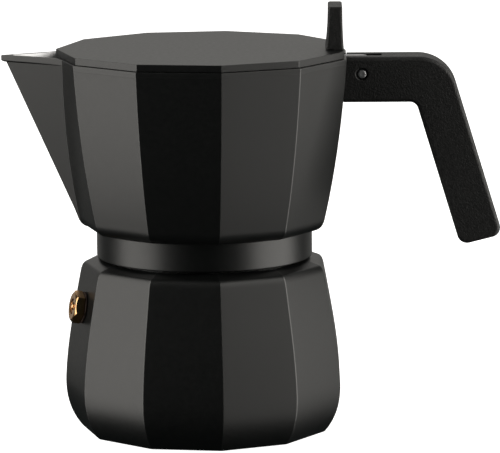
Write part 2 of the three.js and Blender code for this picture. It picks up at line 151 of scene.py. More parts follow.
# ---- Outlines: lists of (x, y) in mm ----
def fillet(before, at, after, radius, steps):
    """Points of an arc that rounds the corner at, between before and after."""
    back = before - at
    ahead = after - at
    half = back.angle(ahead) / 2
    reach = min(radius / math.tan(half), 0.45 * back.length, 0.45 * ahead.length)
    start = at + back.normalized() * reach
    end = at + ahead.normalized() * reach
    centre = at + (back.normalized() + ahead.normalized()).normalized() * (reach / math.cos(half))
    spoke = start - centre
    sweep = spoke.angle_signed(end - centre)
    points = []
    for i in range(steps + 1):
        angle = -sweep * i / steps
        swung = Vector((spoke.x * math.cos(angle) - spoke.y * math.sin(angle),
                        spoke.x * math.sin(angle) + spoke.y * math.cos(angle)))
        points.append(centre + swung)
    return points


def rounded(corners, radii, between=BETWEEN, steps=ARC_STEPS):
    """A closed outline through corners, each rounded by its radius, with points along its straight sides."""
    count = len(corners)
    arcs = [fillet(corners[i - 1], corners[i], corners[(i + 1) % count], radii[i], steps)
            for i in range(count)]
    outline = []
    for i, arc in enumerate(arcs):
        outline += arc
        start, end = arc[-1], arcs[(i + 1) % count][0]
        outline += [start.lerp(end, (k + 1) / (between + 1)) for k in range(between)]
    return outline


def facet_corners(radius, first=0):
    """The corners of the eleven-sided body from number first on; number 0 points along -X."""
    angles = [math.pi + 2 * HALF_FACET * k for k in range(first, SIDES)]
    return [Vector((radius * math.cos(a), radius * math.sin(a))) for a in angles]


def facets(radius, edge=EDGE):
    """A plain eleven-sided outline with rounded edges."""
    return rounded(facet_corners(radius), [edge] * SIDES)


def spouted(radius, tip, spread, edge=EDGE, tip_edge=0.6, root=0.5):
    """An eleven-sided outline with its corner along -X drawn out to a V, whose rounded point is at -tip."""
    tip += tip_edge * (1 / math.sin(math.atan(spread)) - 1)
    wall = (tip - radius) / (1 - spread * math.tan(HALF_FACET))
    low = Vector((wall - tip, -spread * wall))
    high = Vector((wall - tip, spread * wall))
    corners = [Vector((-tip, 0)), low, *facet_corners(radius, 1), high]
    radii = [tip_edge, root, *[edge] * (SIDES - 1), root]
    return rounded(corners, radii)


def circle_like(outline, radius):
    """A circle with as many points as an outline, starting at the same bearing."""
    start = math.atan2(outline[0].y, outline[0].x)
    angles = [start + 2 * math.pi * j / len(outline) for j in range(len(outline))]
    return [Vector((radius * math.cos(a), radius * math.sin(a))) for a in angles]


def quad_curve(start, control, end, steps):
    """Points of a quadratic curve after its start."""
    points = []
    for i in range(1, steps + 1):
        t = i / steps
        points.append(tuple((1 - t) ** 2 * a + 2 * t * (1 - t) * b + t * t * c
                            for a, b, c in zip(start, control, end)))
    return points


def line(start, end, steps):
    """Points of a straight line after its start."""
    return [tuple(a + (b - a) * i / steps for a, b in zip(start, end)) for i in range(1, steps + 1)]


# ---- Meshes ----
def new_object(name, mesh):
    """A new object of the scene, at the origin."""
    piece = bpy.data.objects.new(name, mesh)
    bpy.context.scene.collection.objects.link(piece)
    return piece


def loft(name, rows, bands=None, ring=False):
    """Closed rows of (x, y, z) joined by quads; the ends are capped, or joined to each other if ring.
    bands gives the material number of each band between two rows."""
    count = len(rows[0])
    faces = []
    numbers = []
    spans = len(rows) if ring else len(rows) - 1
    for i in range(spans):
        low, high = i * count, (i + 1) % len(rows) * count
        for j in range(count):
            k = (j + 1) % count
            faces.append((low + j, low + k, high + k, high + j))
            numbers.append(bands[i] if bands else 0)
    if not ring:
        faces.append(tuple(reversed(range(count))))
        faces.append(tuple(range(spans * count, spans * count + count)))
        numbers += [numbers[0], numbers[-1]]
    mesh = bpy.data.meshes.new(name)
    mesh.from_pydata([Vector(point) * MM for row in rows for point in row], [], faces)
    mesh.polygons.foreach_set("material_index", numbers)
    mesh.update()
    return new_object(name, mesh)


def turned(name, profile, steps=64):
    """A closed profile of (radius, z) turned about Z; one that starts and ends on the axis makes a solid."""
    ring = profile[0][0] > 0
    kept = profile if ring else profile[1:-1]
    rows = []
    for r, z in kept:
        rows.append([(r * math.cos(2 * math.pi * j / steps), r * math.sin(2 * math.pi * j / steps), z)
                     for j in range(steps)])
    return loft(name, rows, ring=ring)


def slab(name, outline, half, edge=0.0, steps=2):
    """An outline of (x, z) as thick as 2 * half along Y, with its long edges rounded."""
    mesh = bpy.data.meshes.new(name)
    made = bmesh.new()
    front = [made.verts.new(Vector((x, -half, z)) * MM) for x, z in outline]
    back = [made.verts.new(Vector((x, half, z)) * MM) for x, z in outline]
    count = len(outline)
    made.faces.new(front)
    made.faces.new(back[::-1])
    for i in range(count):
        k = (i + 1) % count
        made.faces.new((front[k], front[i], back[i], back[k]))
    bmesh.ops.recalc_face_normals(made, faces=made.faces)
    if edge:
        rims = [e for e in made.edges if abs(e.verts[0].co.y - e.verts[1].co.y) < 1e-7]
        bmesh.ops.bevel(made, geom=rims, offset=edge * MM, segments=steps, profile=0.5, affect="EDGES")
    made.to_mesh(mesh)
    made.free()
    return new_object(name, mesh)


def block(name, low, high, edge=0.0):
    """A box between two corners in mm, its edges rounded."""
    (x0, y0, z0), (x1, y1, z1) = low, high
    piece = slab(name, [(x0, z0), (x1, z0), (x1, z1), (x0, z1)], (y1 - y0) / 2)
    piece.data.transform(Matrix.Translation((0, (y0 + y1) / 2 * MM, 0)))
    if edge:
        made = bmesh.new()
        made.from_mesh(piece.data)
        bmesh.ops.bevel(made, geom=made.edges[:], offset=edge * MM, segments=2, profile=0.5, affect="EDGES")
        made.to_mesh(piece.data)
        made.free()
    return piece


def rod(name, radius, low, high):
    """A solid cylinder along Z."""
    return turned(name, [(0, low), (radius, low), (radius, high), (0, high)], 48)


def helix(name, section, start, lead, turns, angle=0.0, steps=72):
    """A section of (radius, height) swept up a right-handed helix."""
    count = round(turns * steps)
    rows = []
    for i in range(count + 1):
        turn = i / steps
        phi = math.radians(angle) + turn * 2 * math.pi
        rows.append([(r * math.cos(phi), r * math.sin(phi), start + z + turn * lead) for r, z in section])
    return loft(name, rows)


def placed(piece, matrix):
    """Moves a piece's mesh; the object itself stays at the origin."""
    piece.data.transform(matrix)
    piece.data.update()
    return piece


def moved(piece, x=0.0, y=0.0, z=0.0):
    """Moves a piece's mesh by millimetres."""
    return placed(piece, Matrix.Translation(Vector((x, y, z)) * MM))


def across(piece, x, z):
    """Turns a piece from Z to Y and puts it at x, z."""
    return moved(placed(piece, Matrix.Rotation(math.pi / 2, 4, "X")), x, 0, z)


def bake_modifiers(piece):
    """Puts the result of a piece's modifiers in its mesh."""
    graph = bpy.context.evaluated_depsgraph_get()
    made = bpy.data.meshes.new_from_object(piece.evaluated_get(graph))
    piece.modifiers.clear()
    piece.data = made


def boolean(piece, others, operation):
    """Cuts others out of piece, or joins them to it; the others are used up."""
    for other in others:
        step = piece.modifiers.new(operation, "BOOLEAN")
        step.operation = operation
        step.solver = "EXACT"
        step.object = other
    bpy.context.view_layer.update()
    bake_modifiers(piece)
    for other in others:
        bpy.data.objects.remove(other)
    return piece


def cut(piece, *others):
    """Cuts others out of piece."""
    return boolean(piece, others, "DIFFERENCE")


def joined(piece, *others):
    """Joins others to piece."""
    return boolean(piece, others, "UNION")


def smooth(piece):
    """Smooth shading that stays flat on the flats and sharp at edges over 34 degrees."""
    piece.data.shade_smooth()
    piece.data.set_sharp_from_angle(angle=math.radians(34))
    weighted = piece.modifiers.new("weighted", "WEIGHTED_NORMAL")
    weighted.mode = "FACE_AREA"
    weighted.weight = 50
    weighted.keep_sharp = True


def coated(piece, *materials):
    """Gives a piece the materials that its faces' numbers stand for; done before any cut."""
    for material in materials:
        piece.data.materials.append(material)
    return piece


def paint_edge_highlights(piece, low=0.0, spout=False):
    """Marks the rounded strips between the coated facets above low for the shinier coat that paints a
    highlight along each edge, but not the spout's tip.
    """
    reach = 0.012  # of a strip's middle from its corner's bearing, in radians
    for face in piece.data.polygons:
        corner = (math.atan2(face.center.y, face.center.x) - math.pi) / (2 * HALF_FACET)
        at_corner = abs(corner - round(corner)) * 2 * HALF_FACET < reach
        at_tip = spout and round(corner) % SIDES == 0
        if face.material_index == COATED and at_corner and not at_tip and face.center.z > low * MM:
            # the shinier coat on these strips is a painted highlight, not wear
            face.material_index = PAINTED_HIGHLIGHT


def dress(piece, body, slot, *materials, nodes=()):
    """Gives a finished piece its materials, smooth shading and body, and hides the CAD nodes that it stands
    for; slot is not used.
    """
    coated(piece, *materials)
    smooth(piece)
    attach(piece, body)
    if nodes:
        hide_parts(*nodes)
    return piece


# ---- Materials ----
class Paint:
    """A principled material and the nodes added to it; positions are in metres of the part's own frame."""

    def __init__(self, name, metallic=0.0, specular=0.5):
        self.material = bpy.data.materials.new(name)
        self.material.use_nodes = True
        self.tree = self.material.node_tree
        self.shader = self.tree.nodes["Principled BSDF"]
        self.set(self.shader, "Metallic", metallic)
        self.set(self.shader, "Specular IOR Level", specular)
        self.where = self.add("ShaderNodeTexCoord").outputs["Object"]

    def add(self, kind, **values):
        """A new node with its inputs set; an underscore stands for a space."""
        node = self.tree.nodes.new(kind)
        for name, value in values.items():
            self.set(node, name.replace("_", " "), value)
        return node

    @staticmethod
    def set(node, name, value):
        node.inputs[name].default_value = value

    def link(self, output, node, name):
        self.tree.links.new(output, node.inputs[name])

    def noise(self, size, detail=3.0, stretch=(1, 1, 1)):
        """Noise whose features are about size mm across, stretched along an axis by a small factor there."""
        scaled = self.add("ShaderNodeMapping", Scale=Vector(stretch) / (size * MM))
        self.link(self.where, scaled, "Vector")
        noise = self.add("ShaderNodeTexNoise", Scale=1.0, Detail=detail, Roughness=0.55)
        self.link(scaled.outputs["Vector"], noise, "Vector")
        return noise.outputs["Fac"]

    def ranged(self, value, low, high):
        """Spreads a noise, which keeps mostly between 0.3 and 0.7, from low to high."""
        node = self.add("ShaderNodeMapRange", From_Min=0.3, From_Max=0.7, To_Min=low, To_Max=high)
        self.link(value, node, "Value")
        return node.outputs["Result"]

    def rough(self, value, low, high):
        """Roughness between two values."""
        self.link(self.ranged(value, low, high), self.shader, "Roughness")

    def tinted(self, value, dark, light):
        """Base colour between two colours."""
        mix = self.tree.nodes.new("ShaderNodeMix")
        mix.data_type = "RGBA"
        ends = [socket for socket in mix.inputs if socket.type == "RGBA"]
        ends[0].default_value = (*dark, 1)
        ends[1].default_value = (*light, 1)
        mixed = next(socket for socket in mix.outputs if socket.type == "RGBA")
        self.tree.links.new(self.ranged(value, 0, 1), mix.inputs[0])
        self.link(mixed, self.shader, "Base Color")

    def bump(self, value, depth):
        """Raises the surface by up to depth mm."""
        node = self.add("ShaderNodeBump", Strength=1.0, Distance=depth * MM)
        self.link(value, node, "Height")
        self.link(node.outputs["Normal"], self.shader, "Normal")


def black_coat(name, shine):
    """Satin coat on cast aluminium, with a faint orange peel."""
    paint = Paint(name, specular=shine)
    paint.rough(paint.noise(1.5, 4), 0.36, 0.4)
    paint.tinted(paint.noise(6, 3), (0.0009, 0.0013, 0.0013), (0.0013, 0.0017, 0.0017))
    paint.bump(paint.noise(0.4, 2), 0.003)
    return paint.material


def black_plastic():
    """Moulded plastic with a fine spark-eroded grain."""
    paint = Paint("black_plastic")
    paint.rough(paint.noise(0.8, 4), 0.42, 0.6)
    paint.tinted(paint.noise(0.55, 2), (0.001, 0.001, 0.001), (0.013, 0.013, 0.013))
    paint.bump(paint.noise(0.6, 3), 0.22)
    return paint.material


def bare_aluminium():
    """Uncoated aluminium, turned and lightly stained by use."""
    paint = Paint("bare_aluminium", metallic=1.0)
    paint.rough(paint.noise(3, 5), 0.4, 0.52)
    paint.tinted(paint.noise(12, 5), (0.68, 0.68, 0.69), (0.84, 0.84, 0.85))
    paint.bump(paint.noise(0.25, 3, (0.12, 0.12, 1)), 0.004)
    return paint.material


def steel():
    """Plain bright steel of screws, spring and sieves."""
    paint = Paint("steel", metallic=1.0)
    paint.rough(paint.noise(1.5, 4), 0.22, 0.36)
    paint.tinted(paint.noise(4, 3), (0.55, 0.55, 0.56), (0.68, 0.68, 0.69))
    paint.bump(paint.noise(0.2, 3), 0.003)
    return paint.material


def dark_steel():
    """Grey, blackened steel of the hinge pin."""
    paint = Paint("dark_steel", metallic=1.0)
    paint.rough(paint.noise(0.8, 4), 0.4, 0.52)
    paint.tinted(paint.noise(2, 3), (0.46, 0.46, 0.465), (0.62, 0.62, 0.63))
    paint.bump(paint.noise(0.2, 3), 0.003)
    return paint.material


def brass():
    """Turned brass, a little tarnished."""
    paint = Paint("brass", metallic=1.0)
    paint.rough(paint.noise(1.2, 4), 0.14, 0.26)
    paint.tinted(paint.noise(3, 4), (0.52, 0.29, 0.11), (0.74, 0.47, 0.25))
    paint.bump(paint.noise(0.3, 3), 0.004)
    return paint.material


def gasket_rubber():
    """Pale rubber of the seal."""
    paint = Paint("gasket_rubber")
    paint.rough(paint.noise(1.5, 4), 0.5, 0.7)
    paint.tinted(paint.noise(6, 4), (0.62, 0.58, 0.5), (0.74, 0.71, 0.64))
    paint.bump(paint.noise(0.5, 4), 0.01)
    return paint.material


def fibre():
    """Dark fibre sealing washer, made darker still as painted shade between the hexagon and the boiler."""
    paint = Paint("fibre", specular=0.15)
    paint.rough(paint.noise(0.5, 4), 0.65, 0.9)
    paint.tinted(paint.noise(0.8, 4), (0.02, 0.013, 0.01), (0.04, 0.026, 0.02))
    paint.bump(paint.noise(0.3, 4), 0.02)
    return paint.material


COAT = black_coat("black_coat", 0.5)
HIGHLIGHT_COAT = black_coat("edge_highlight_coat", 0.75)  # the coat on the facet edges, made shinier as a painted highlight along each rounded edge
PLASTIC = black_plastic()
BARE = bare_aluminium()
STEEL = steel()
DARK_STEEL = dark_steel()
BRASS = brass()
RUBBER = gasket_rubber()
FIBRE = fibre()


# ---- Boiler ----
def raised(outline, z):
    """An outline at a height."""
    return [(p.x, p.y, z) for p in outline]


def valve_place():
    """Local +Z runs out of the boiler and local 0 is the face of the facet."""
    at = Vector((VALVE_REACH * math.cos(VALVE_AZIMUTH), VALVE_REACH * math.sin(VALVE_AZIMUTH), VALVE_Z)) * MM
    turn = Matrix.Rotation(VALVE_AZIMUTH, 4, "Z") @ Matrix.Rotation(math.pi / 2 - VALVE_TILT, 4, "Y")
    return Matrix.Translation(at) @ turn


def boiler():
    """The faceted lower vessel, with its round neck and its hollow inside."""
    foot = (44.2, BASE_Z + 0.6)
    widest = (49.65, 17.3)
    flank_low = (FLANK_RADIUS, FLANK_Z)
    flank_high = (44.5, 53.4)
    shoulder_low = (43.9, 56.4)
    shoulder_high = (41.9, 59.65)
    outside = [(43.2, BASE_Z), (43.6, BASE_Z + 0.08), (44.02, BASE_Z + 0.36), foot]
    outside += quad_curve(foot, (49.8, 7.2), widest, 16)
    outside += quad_curve(widest, (49.3, 28), flank_low, 14)
    outside += line(flank_low, flank_high, 4)
    outside += line(flank_high, shoulder_low, 2)
    outside += quad_curve(shoulder_low, (43.35, 59.15), shoulder_high, 12)
    outside += line(shoulder_high, (38.2, SHOULDER), 2) + [(36.6, SHOULDER)]
    neck = [(NECK_RADIUS + 0.4, SHOULDER + 0.02), (NECK_RADIUS, SHOULDER + 0.4), (NECK_RADIUS, 65.0),
            (NECK_RADIUS, NECK_TOP - 0.4), (NECK_RADIUS - 0.12, NECK_TOP - 0.12),
            (NECK_RADIUS - 0.4, NECK_TOP), (NECK_BORE + 0.3, NECK_TOP), (NECK_BORE + 0.08, NECK_TOP - 0.08),
            (NECK_BORE, NECK_TOP - 0.3), (NECK_BORE, 64.0), (NECK_BORE, 58.3), (NECK_BORE + 0.5, 57.8)]
    ceiling = (33, 57.8)
    wall_high = (39.6, 52)
    wall_low = (41.4, FLANK_Z)
    wall_widest = (44.5, 17.3)
    inside = line(neck[-1], ceiling, 2)
    inside += quad_curve(ceiling, (38, 57.8), wall_high, 8)
    inside += line(wall_high, wall_low, 3)
    inside += quad_curve(wall_low, (44, 28), wall_widest, 10)
    inside += quad_curve(wall_widest, (43.6, 4.4), (36, 3), 14)
    rows = [raised(facets(r), z) for r, z in outside]
    pattern = facets(40)
    rows += [raised(circle_like(pattern, r), z) for r, z in neck + inside]
    bands = [COATED] * len(outside) + [UNCOATED] * (len(rows) - 1 - len(outside))
    piece = coated(loft("boiler_casting", rows, bands), COAT, BARE, HIGHLIGHT_COAT)
    paint_edge_highlights(piece)
    hole = placed(rod("hole", 4.3, -12, 4), valve_place())
    return dress(cut(piece, hole), "boiler_set", "black_coat", nodes=["boiler"])


def thread_section(root, crest):
    """A trapezoid between two radii with an eased crest, listed counter-clockwise with radius across."""
    sign = 1 if crest > root else -1
    root_half = 0.75 * sign
    crest_half = 0.25 * sign
    ease = 0.12 * sign
    return [(root, -root_half), (crest - ease, -crest_half - ease), (crest, -crest_half),
            (crest, crest_half), (crest - ease, crest_half + ease), (root, root_half)]


def neck_thread():
    """The thread's ridge on the outside of the neck."""
    section = thread_section(NECK_RADIUS - 0.3, NECK_RADIUS + THREAD_HEIGHT)
    piece = helix("boiler_neck_thread", section, THREAD_START, THREAD_LEAD, THREAD_TURNS)
    return dress(piece, "boiler_set", "bare_aluminium", BARE)


# ---- Coffee funnel ----
def funnel_basket():
    """The basket, hung by its flange on the neck."""
    outer = 28.4
    inner = outer - 0.8
    profile = [(4.7, 43), (5.5, 43), (5.6, 43.1), (5.6, 45.8), (5.8, 46.1), (16, 47.55), (26, 48.95),
               (27.4, 49.4), (28.1, 50.1), (outer, 51), (outer, 60), (outer, 69.0), (28.6, 69.5),
               (29.1, 69.65), (32.3, 69.65), (32.6, 69.75), (32.6, 70.3), (32.5, FLANGE_TOP),
               (28.6, FLANGE_TOP), (28.0, 70.2), (inner, 69.7), (inner, 60), (inner, 51.6), (27.3, 50.7),
               (26.4, 50.0), (16, 48.5), (5.4, 47.0), (4.7, 47)]
    return dress(turned("funnel_basket_shell", profile, 96), "boiler_set", "bare_aluminium", BARE,
                 nodes=["funnel_basket"])


def funnel_tube():
    """The riser tube pressed into the basket."""
    outer = 4.4
    inner = 3.6
    foot = 8.0
    head = 46.6
    profile = [(inner, foot + 0.2), (inner + 0.15, foot), (outer - 0.15, foot), (outer, foot + 0.2),
               (outer, 27), (outer, head), (inner, head), (inner, 27)]
    return dress(turned("funnel_riser", profile, 48), "boiler_set", "bare_aluminium", BARE,
                 nodes=["funnel_tube"])


def sieve(name, radius, low, high, rings, pitch, hole):
    """A perforated disc: a filled curve with a round hole at each place of a ring pattern."""
    rim_sides = 96
    hole_sides = 10
    places = [(0.0, 0.0)]
    for k in range(1, rings + 1):
        for i in range(6 * k):
            angle = 2 * math.pi * i / (6 * k)
            places.append((k * pitch * math.cos(angle), k * pitch * math.sin(angle)))
    drawn = bpy.data.curves.new(name, "CURVE")
    drawn.dimensions = "2D"
    drawn.fill_mode = "BOTH"
    drawn.extrude = (high - low) / 2 * MM
    rounds = [(0.0, 0.0, radius, rim_sides)] + [(x, y, hole, hole_sides) for x, y in places]
    for x, y, r, steps in rounds:
        spline = drawn.splines.new("POLY")
        spline.points.add(steps - 1)
        spline.use_cyclic_u = True
        for j, point in enumerate(spline.points):
            angle = 2 * math.pi * j / steps
            point.co = ((x + r * math.cos(angle)) * MM, (y + r * math.sin(angle)) * MM, 0, 1)
    shape = new_object(name + "_curve", drawn)
    bpy.context.view_layer.update()
    graph = bpy.context.evaluated_depsgraph_get()
    mesh = bpy.data.meshes.new_from_object(shape.evaluated_get(graph))
    bpy.data.objects.remove(shape)
    made = bmesh.new()
    made.from_mesh(mesh)
    bmesh.ops.remove_doubles(made, verts=made.verts, dist=1e-7)
    made.to_mesh(mesh)
    made.free()
    return moved(new_object(name, mesh), z=(low + high) / 2)


def funnel_plate():
    """The sieve in the bottom of the basket."""
    piece = sieve("funnel_sieve", 27, 51.8, 52.6, 10, 2.45, 0.45)
    return dress(piece, "boiler_set", "steel", STEEL, nodes=["funnel_plate"])


# ---- Safety valve, built along local Z ----
def hexagon(angle, flats, twist):
    """Radius of a hexagon at a bearing; twist is the bearing of one of its corners."""
    sector = math.pi / 3
    off = (angle - twist) % sector - sector / 2
    return flats / 2 / math.cos(off)


def valve_body():
    """A hexagon with a chamfered front, on a round shank, bored from the front."""
    steps = 96
    flats = 10.0
    twist = math.radians(13)
    under = 0.9
    front = 4.2
    chamfer_radius = 4.6
    chamfer_slope = 0.8 / 1.3
    shank = 3.9
    bore = 2.7
    inlet = 0.36
    rows = []
    bearings = [2 * math.pi * j / steps + twist for j in range(steps)]

    def row(radius_at, height_at):
        rows.append([(radius_at(a) * math.cos(a), radius_at(a) * math.sin(a), height_at(a))
                     for a in bearings])

    def flank(a):
        return hexagon(a, flats, twist)

    def meets(a):
        """Height at which the chamfer's cone meets a flat."""
        return front - (flank(a) - chamfer_radius) * chamfer_slope

    for radius, z in [(inlet, -4.6), (shank - 0.3, -4.6), (shank, -4.3), (shank, 0.4), (shank, under)]:
        row(lambda a, r=radius: r, lambda a, h=z: h)
    row(lambda a: flank(a) - 0.15, lambda a: under)
    row(flank, lambda a: under + 0.15)
    row(flank, lambda a: meets(a) - 0.05)
    row(lambda a: flank(a) - 0.06, lambda a: meets(a) + 0.05)
    for radius, z in [(chamfer_radius + 0.02, front - 0.02), (chamfer_radius - 0.15, front), (3.1, front),
                      (bore + 0.08, front - 0.06), (bore, front - 0.25), (bore, -3.0), (bore, -3.2),
                      (inlet, -3.2)]:
        row(lambda a, r=radius: r, lambda a, h=z: h)
    piece = placed(loft("valve_hexagon", rows, ring=True), valve_place())
    return dress(piece, "boiler_set", "brass", BRASS, nodes=["valve_body"])


def valve_washer():
    """The sealing washer between the hexagon and the boiler."""
    profile = [(4.1, 0.2), (4.2, 0.1), (5.45, 0.1), (5.6, 0.25), (5.6, 0.6), (5.45, 0.75), (4.2, 0.75),
               (4.1, 0.65)]
    piece = placed(turned("valve_seal", profile, 64), valve_place())
    return dress(piece, "boiler_set", "fibre", FIBRE, nodes=["valve_washer"])


def valve_retainer():
    """The ring in the valve's mouth, round the plunger's pin."""
    profile = [(1.35, 3.1), (1.45, 3.0), (2.4, 3.0), (2.5, 3.1), (2.5, 3.65), (2.35, 3.8), (1.55, 3.8),
               (1.35, 3.6)]
    piece = placed(turned("valve_ring", profile, 48), valve_place())
    return dress(piece, "boiler_set", "brass", BRASS, nodes=["valve_retainer"])


def valve_plunger():
    """The plunger on its seat, with the pin whose tip shows in the valve's mouth."""
    profile = [(0, -3.1), (1.2, -3.1), (1.35, -3.05), (2.25, -2.3), (2.3, -2.15), (2.3, -1.3), (2.2, -1.2),
               (1.2, -1.2), (1.1, -1.1), (1.1, 3.95), (0.98, 4.25), (0.7, 4.5), (0.3, 4.6), (0, 4.6)]
    piece = placed(turned("valve_pin_tip", profile, 40), valve_place())
    return dress(piece, "valve_pin", "brass", BRASS, nodes=["valve_plunger"])


def valve_spring():
    """The coil between plunger and retainer."""
    wire = 0.25
    wire_sides = 10
    coil = 1.75
    lead = 0.7
    turns = 5
    start = -0.85
    angles = [2 * math.pi * i / wire_sides for i in range(wire_sides)]
    section = [(coil + wire * math.cos(a), wire * math.sin(a)) for a in angles]
    place = valve_place()
    piece = placed(helix("valve_coil", section, start, lead, turns, steps=32), place)
    dress(piece, "boiler_set", "steel", STEEL, nodes=["valve_spring"])
    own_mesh(piece)
    return piece


# ---- Seal ----
def gasket():
    """The rubber ring on the neck."""
    profile = [(26.5, 70.8), (26.8, 70.5), (32.3, 70.5), (32.6, 70.8), (32.6, 73.1), (32.4, 73.45),
               (32.1, 73.6), (26.9, 73.6), (26.6, 73.5), (26.5, 73.3)]
    return dress(turned("seal_ring", profile, 96), "seal_set", "gasket_rubber", RUBBER, nodes=["gasket"])


def filter_plate():
    """The sieve that the gasket holds under the chamber's floor."""
    piece = sieve("seal_sieve", 28.5, 73.7, 74.3, 10, 2.6, 0.45)
    return dress(piece, "seal_set", "steel", STEEL, nodes=["filter_plate"])


# ---- Upper chamber ----
def eased(value, low, high):
    """From 0 at low to 1 at high, with a soft start and end."""
    t = min(max((value - low) / (high - low), 0), 1)
    return t * t * (3 - 2 * t)


def outer_row(radius, z):
    """The outside of the casting at one height, with the spout drawn out of its edge along -X."""
    keel = KEEL_FOOT_X + KEEL_RUN * (z - KEEL_FOOT_Z)
    tip = radius + 0.25 + (keel - radius - 0.25) * eased(z, 73.5, 77.5)
    return raised(spouted(radius, tip, WALL_SPREAD, edge=CHAMBER_EDGE), z)


def inner_row(radius, z, lifted=False):
    """The inside at one height, with the spout's channel, which opens out wider near the rim."""
    keel = 45.1 + 0.39 * (z - 84) + 0.46 * max(z - CHANNEL_FLARE_Z, 0)
    tip = radius + 0.3 + (keel - radius - 0.3) * eased(z, 79, 86)
    outline = spouted(radius, tip, WALL_SPREAD - 0.03, edge=1.6, root=1.0)
    return lifted_row(outline, z) if lifted else raised(outline, z)


def lip_lift(x, y):
    """How far the rim rises at a place: only on the spout, beyond the lid and a small gap."""
    off = (math.atan2(y, x) - math.pi) % (2 * HALF_FACET) - HALF_FACET
    beyond = math.hypot(x, y) * math.cos(off) - LID_RADIUS * FACE
    return LIP_RISE * eased(beyond, 0.9, 1.6)


def lifted_row(outline, z):
    """An outline at a height, raised on the spout's lip."""
    return [(p.x, p.y, z + lip_lift(p.x, p.y)) for p in outline]


def lip_row(radius, z, inset, lifted=False):
    """The lip's outline; inset draws back its tip, while its walls keep their roots."""
    tip = LIP_TIP - inset
    outline = spouted(radius, tip, LIP_ROOT_Y / (tip - LIP_ROOT_X), edge=CHAMBER_EDGE, tip_edge=0.5)
    return lifted_row(outline, z) if lifted else raised(outline, z)


def upper_chamber():
    """The faceted vessel with spout, rim, floor and round collar, as one casting."""
    lip_z = RIM - LIP_HEIGHT
    wall_start = (40, CHAMBER_BOTTOM)
    wall_low = (44.35, 76.5)
    wall = [wall_start] + quad_curve(wall_start, (43.6, 72.2), wall_low, 10)
    wall += quad_curve(wall_low, (50.25, 101.7), (RIM_RADIUS, RIM), 26)
    outside = [outer_row(r, z) for r, z in wall if z < lip_z - 0.2]
    under_lip = RIM_RADIUS - 0.1
    outside.append(outer_row(under_lip, lip_z))
    under_rounding = [(0.03, 2.3), (0.1, 1.2), (0.25, 0.6), (0.45, 0.22), (0.75, 0.03)]  # (height, inset)
    outside += [lip_row(under_lip, lip_z + height, inset) for height, inset in under_rounding]
    outside += [lip_row(RIM_RADIUS, RIM - 0.35, 0.0, True), lip_row(RIM_RADIUS - 0.12, RIM - 0.1, 0.1, True),
                lip_row(RIM_RADIUS - 0.4, RIM, 0.3, True)]
    mouth = RIM_RADIUS - 2.5
    inside = [inner_row(mouth + 1.2, RIM, True), inner_row(mouth + 1.0, RIM - 0.2, True),
              inner_row(mouth + 1.0, RIM - 1.5), inner_row(mouth + 0.9, RIM - 1.6),
              inner_row(mouth + 0.2, RIM - 1.62), inner_row(mouth, RIM - 1.8)]
    inner_low = (41.8, 82.5)
    inner_wall = quad_curve((mouth, RIM - 1.8), (47.2, 103), inner_low, 26)
    inner_wall += quad_curve(inner_low, (41.2, 78.9), (36, CHAMBER_FLOOR), 8)
    inside += [inner_row(r, z) for r, z in inner_wall]
    pattern = spouted(40, 40.3, WALL_SPREAD)
    under = [(20, CHAMBER_FLOOR), (5.2, CHAMBER_FLOOR), (4.8, CHAMBER_FLOOR - 0.4), (4.8, SEAT + 1.8),
             (25, SEAT), (32.7, SEAT), (33.1, SEAT - 0.4), (33.1, FLANGE_TOP - 0.2),
             (COLLAR_BORE - 0.3, FLANGE_TOP - 0.2), (COLLAR_BORE, FLANGE_TOP - 0.5), (COLLAR_BORE, 66),
             (COLLAR_BORE, COLLAR_BOTTOM + 0.3), (COLLAR_BORE + 0.3, COLLAR_BOTTOM)]
    collar = [(COLLAR_RADIUS - 0.6, COLLAR_BOTTOM), (COLLAR_RADIUS - 0.24, COLLAR_BOTTOM + 0.08),
              (COLLAR_RADIUS - 0.06, COLLAR_BOTTOM + 0.28), (COLLAR_RADIUS, COLLAR_BOTTOM + 0.6),
              (COLLAR_RADIUS, 66), (COLLAR_RADIUS, CHAMBER_BOTTOM - 0.45),
              (COLLAR_RADIUS + 0.1, CHAMBER_BOTTOM - 0.15), (COLLAR_RADIUS + 0.4, CHAMBER_BOTTOM)]
    rows = outside + inside
    rows += [raised(circle_like(pattern, r), z) for r, z in under + collar]
    bands = [COATED] * len(outside) + [UNCOATED] * (len(inside) + len(under) - 1)
    bands += [COATED] * (len(rows) - len(bands))
    piece = coated(loft("chamber_casting", rows, bands, ring=True), COAT, BARE, HIGHLIGHT_COAT)
    paint_edge_highlights(piece, CHAMBER_BOTTOM, spout=True)
    notch = block("notch", (45, -2.8, 130.4), (53, 2.8, RIM + 1))
    relief = block("relief", (44, -9.4, 130.2), (48.8, 9.4, RIM + 1))
    cut(piece, notch, relief)
    return dress(piece, "chamber_set", "black_coat", nodes=["upper_chamber"])


def collar_thread():
    """The thread's ridge inside the collar, half a lead below the neck's."""
    section = thread_section(COLLAR_BORE + 0.3, COLLAR_BORE - THREAD_HEIGHT)
    start_angle = 240
    start = THREAD_START - THREAD_LEAD / 2 + THREAD_LEAD * start_angle / 360
    piece = helix("chamber_collar_thread", section, start, THREAD_LEAD, THREAD_TURNS, start_angle)
    return dress(piece, "chamber_set", "bare_aluminium", BARE)


def lug():
    """The arm under the hinge and the tapped boss that the handle is screwed to."""
    arm = block("chamber_lug", (47.4, -4, 119.9), (BOSS_X + 4, 4, 122.9), 0.4)
    boss = block("boss", (BOSS_X - 4, -4, 119.9), (BOSS_X + 4, 4, 129), 0.5)
    joined(arm, boss)
    cut(arm, moved(rod("tapped", 2.3, 118, 127.8), BOSS_X))
    return dress(arm, "chamber_set", "black_coat", COAT)


